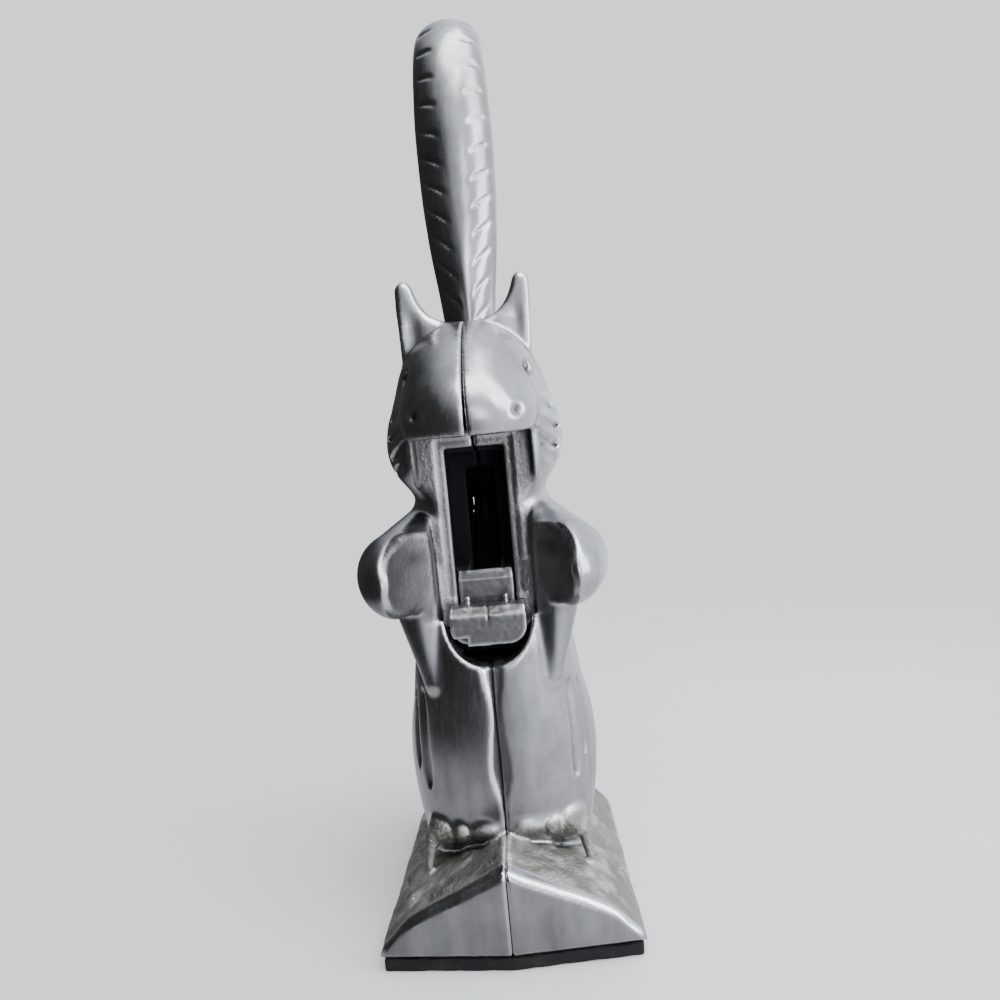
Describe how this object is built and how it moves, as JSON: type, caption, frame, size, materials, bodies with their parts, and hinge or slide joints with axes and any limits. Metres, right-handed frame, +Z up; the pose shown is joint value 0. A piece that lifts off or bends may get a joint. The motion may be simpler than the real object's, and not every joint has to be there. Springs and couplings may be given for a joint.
{
  "type": "nutcracker",
  "caption": "Sitting squirrel lever nutcracker: the tail is a hand lever that lifts a sliding jaw between the paws to crush a nut under the muzzle.",
  "frame": {"origin": "centre of the pad's underside, on the surface that the nutcracker stands on", "axes": "+Z up, the squirrel faces -Y, +X is its left-hand side as the nutcracker is seen from the front on the right, and X = 0 is the seam between the two castings"},
  "size_m": [0.056, 0.0993, 0.2135],
  "materials": {
    "cast_aluminium": "tumbled and brushed casting, rough where unpolished",
    "jaw_metal": "machined, scratched",
    "bright_steel": "bright turned",
    "black_pad": "matt"
  },
  "bodies": {
    "body": {"body_half_left": "cast_aluminium", "body_half_right": "cast_aluminium", "lever_pivot_pin": "bright_steel", "pivot_washer_right": "bright_steel", "pivot_washer_left": "bright_steel", "lever_stop_pin": "bright_steel", "head_screw": "bright_steel", "chest_screw": "bright_steel", "back_screw": "bright_steel", "base_front_screw": "bright_steel", "base_rear_screw": "bright_steel", "head_dowel": "bright_steel", "base_dowel": "bright_steel", "base_pad": "black_pad"},
    "lever": {"tail_lever": "cast_aluminium", "jaw_drive_pin": "bright_steel"},
    "jaw": {"crusher_jaw": "jaw_metal", "nut_pin_right": "bright_steel", "nut_pin_left": "bright_steel"}
  },
  "joints": [
    {"name": "tail_hinge", "type": "hinge", "parent": "body", "child": "lever", "pos_m": [0, 0.023, 0.081], "axis": [-1, 0, 0], "range_deg": [0, 62]},
    {"name": "jaw_slide", "type": "slide", "parent": "body", "child": "jaw", "axis": [0, 0, 1], "range_m": [0, 0.0241]}
  ],
  "couplings": [
    {"joint": "jaw_slide", "follows": "tail_hinge", "m_per_rad": 0.02218}
  ]
}
